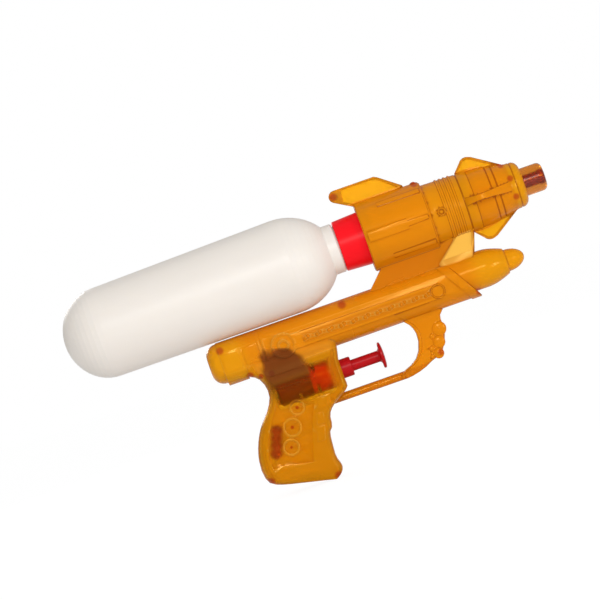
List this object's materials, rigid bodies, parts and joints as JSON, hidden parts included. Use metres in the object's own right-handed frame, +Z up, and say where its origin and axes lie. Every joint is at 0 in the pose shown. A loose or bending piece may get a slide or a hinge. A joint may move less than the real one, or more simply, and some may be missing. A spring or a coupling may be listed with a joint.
{
  "type": "water squirter",
  "caption": "Translucent amber toy water squirter: finned moulded half shells, white screw-on bottle behind the muzzle, red push-trigger pump in the grip, and a trigger guard.",
  "frame": {"origin": "centre of the bottom of the bounding box, with the grip's toe on z = 0", "axes": "+X along the barrel to the muzzle, +Z up with the bore level, Y across the half shells, which meet at y = 0"},
  "size_m": [0.2946, 0.056, 0.1578],
  "materials": {
    "amber_plastic": "translucent amber, glossy moulded",
    "bottle_plastic": "milky white, satin blow-moulded",
    "red_plastic": "opaque red, satin moulded",
    "dark_plastic": "dark brown, satin moulded",
    "tube_plastic": "clear soft tube",
    "seal_rubber": "soft black rubber",
    "piston_plastic": "natural white moulded",
    "spring_steel": "drawn stainless wire",
    "ball_steel": "polished stainless"
  },
  "bodies": {
    "shell": {"right_shell": "amber_plastic", "left_shell": "amber_plastic", "bottle_cap": "red_plastic", "dip_tube": "tube_plastic", "supply_tube": "tube_plastic", "delivery_tube": "tube_plastic", "pump_cylinder": "dark_plastic", "pump_gland": "red_plastic", "gland_seal": "seal_rubber", "return_spring": "spring_steel", "inlet_elbow": "dark_plastic", "outlet_elbow": "dark_plastic", "nozzle_tip": "amber_plastic", "nozzle_jet": "dark_plastic"},
    "trigger": {"trigger_plunger": "red_plastic", "piston": "piston_plastic", "piston_seal": "seal_rubber"},
    "neck_seal": {"neck_seal": "seal_rubber"},
    "bottle": {"bottle": "bottle_plastic"},
    "inlet_ball": {"inlet_ball": "ball_steel"},
    "outlet_ball": {"outlet_ball": "ball_steel"}
  },
  "joints": [
    {"name": "trigger_pull", "type": "slide", "parent": "shell", "child": "trigger", "axis": [-1, 0, 0], "range_m": [0, 0.016], "stiffness_N_per_m": 150, "springref_m": -0.012, "deforming": ["return_spring"]},
    {"name": "bottle_twist", "type": "hinge", "parent": "shell", "child": "neck_seal", "pos_m": [0.03808, 0, 0.126], "axis": [-0.9999, 0, -0.0122], "range_deg": [0, 900]},
    {"name": "bottle_unscrew", "type": "slide", "parent": "neck_seal", "child": "bottle", "axis": [-0.9999, 0, -0.0122], "range_m": [0, 0.008]},
    {"name": "inlet_lift", "type": "slide", "parent": "shell", "child": "inlet_ball", "axis": [0, 0, 1], "range_m": [0, 0.0012]},
    {"name": "outlet_lift", "type": "slide", "parent": "shell", "child": "outlet_ball", "axis": [0, 0, 1], "range_m": [0, 0.0012]}
  ],
  "couplings": [
    {"joint": "bottle_unscrew", "follows": "bottle_twist", "m_per_rad": 0.0005093}
  ]
}
